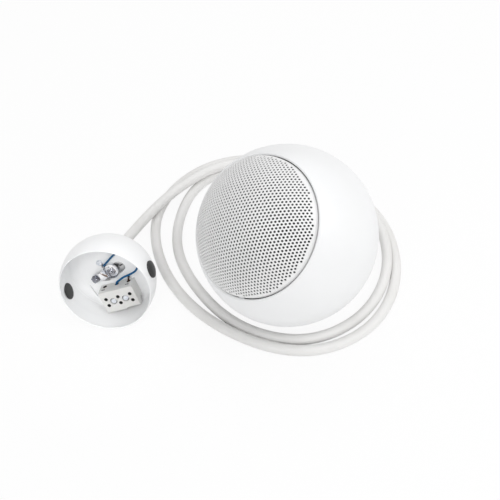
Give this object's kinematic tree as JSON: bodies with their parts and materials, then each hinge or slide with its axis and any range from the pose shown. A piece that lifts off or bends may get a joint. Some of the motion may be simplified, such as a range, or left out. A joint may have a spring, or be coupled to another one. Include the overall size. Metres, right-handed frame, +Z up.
{
  "type": "pendant speaker",
  "caption": "White pendant ball loudspeaker with a domed perforated grille, round cable and a spherical ceiling canopy with terminal block, lying on a surface.",
  "frame": {"origin": "on the surface that the ball, the canopy and the cable lie on, in the middle of the box of the ball and the canopy", "axes": "+X from the canopy towards the ball, +Z up, -Y towards the side that the grille and the canopy's mouth face"},
  "size_m": [0.363, 0.3074, 0.1826],
  "materials": {
    "shell_white": "satin white",
    "grille_white": "powder coated white",
    "cloth_black": "black acoustic cloth",
    "baffle_black": "matt black",
    "basket_black": "black paint",
    "rubber_black": "matt black rubber",
    "cone_paper": "coated pulp",
    "spider_cloth": "resin treated cloth",
    "coil_metal": "wound former",
    "steel_plain": "zinc plated",
    "steel_bright": "bright plated",
    "magnet_grey": "ferrite",
    "core_grey": "laminated",
    "bobbin_black": "matt",
    "winding_tape": "tape",
    "phenolic": "phenolic board",
    "canopy_white": "satin white",
    "block_grey": "pale warm grey",
    "brass": "plain",
    "core_blue": "blue insulation",
    "core_brown": "brown insulation",
    "lead_red": "insulated lead",
    "cord_white": "off-white PVC"
  },
  "bodies": {
    "root": {"ball_shell": "shell_white", "grille": "grille_white", "acoustic_cloth": "cloth_black", "baffle_ring": "baffle_black", "baffle_screws": "steel_plain", "driver_basket": "basket_black", "driver_gasket": "rubber_black", "surround": "rubber_black", "cone": "cone_paper", "dust_cap": "cone_paper", "spider": "spider_cloth", "voice_coil": "coil_metal", "top_plate": "steel_plain", "magnet": "magnet_grey", "pole_piece": "steel_plain", "driver_screws": "steel_plain", "tag_strip": "phenolic", "transformer_bracket": "steel_plain", "transformer_core": "core_grey", "transformer_bobbin": "bobbin_black", "transformer_winding": "winding_tape", "transformer_screws": "steel_plain", "ball_leads": "lead_red", "gland_body": "shell_white", "gland_nut": "bobbin_black", "canopy_shell": "canopy_white", "canopy_bush": "canopy_white", "plug_left": "rubber_black", "plug_right": "rubber_black", "canopy_base": "canopy_white", "suspension_plate": "steel_plain", "cable_saddle": "steel_bright", "saddle_bolts": "steel_bright", "far_screw": "steel_bright", "terminal_block": "block_grey", "block_screws": "steel_bright", "terminal_screws": "steel_plain", "terminal_inserts": "brass", "blue_core": "core_blue", "brown_core": "core_brown", "cord": "cord_white"}
  },
  "joints": []
}
